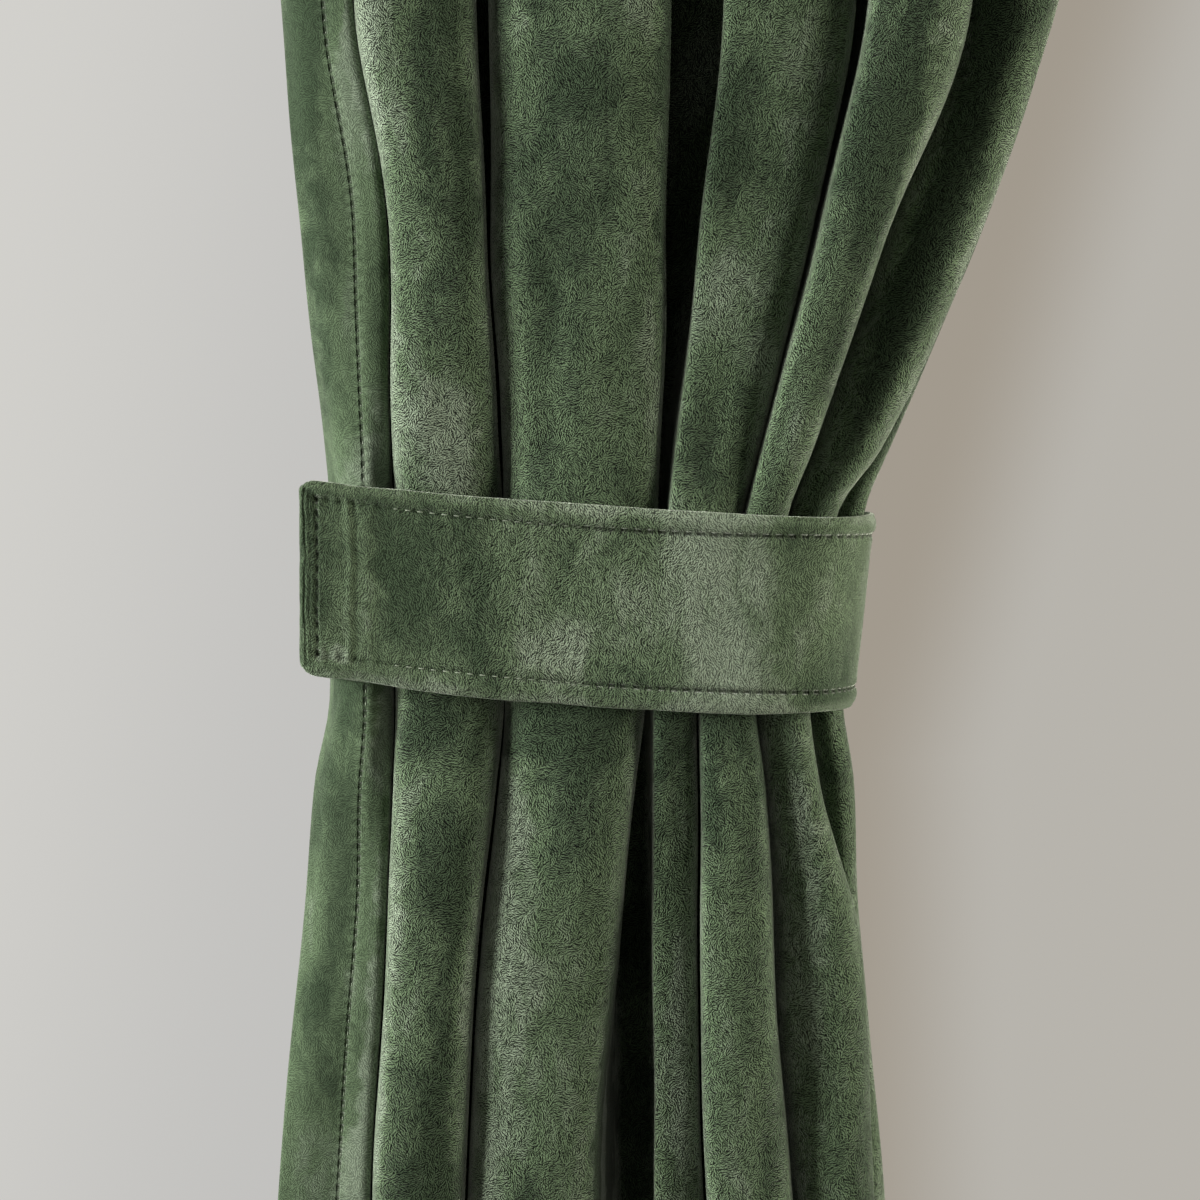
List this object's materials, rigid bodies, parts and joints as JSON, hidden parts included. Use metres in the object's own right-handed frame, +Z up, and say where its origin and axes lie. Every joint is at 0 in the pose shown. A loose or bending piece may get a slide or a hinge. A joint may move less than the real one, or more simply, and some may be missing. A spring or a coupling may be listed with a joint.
{
  "type": "velvet drape with tieback",
  "caption": "Full-length velvet drape hung in uneven folds and drawn together below its middle by a stitched velvet tieback band.",
  "frame": {"origin": "the middle of the drape's top edge, half way through the depth of its folds", "axes": "+Z up, -Y towards the room, +X to the right as seen from the room; the tieback is below and to the left of the origin"},
  "size_m": [0.5802, 0.105, 2.2995],
  "materials": {
    "drape_velvet": "matte short pile",
    "tieback_velvet": "matte short pile, top-stitched"
  },
  "bodies": {
    "root": {"drape": "drape_velvet", "tieback": "tieback_velvet"}
  },
  "joints": []
}
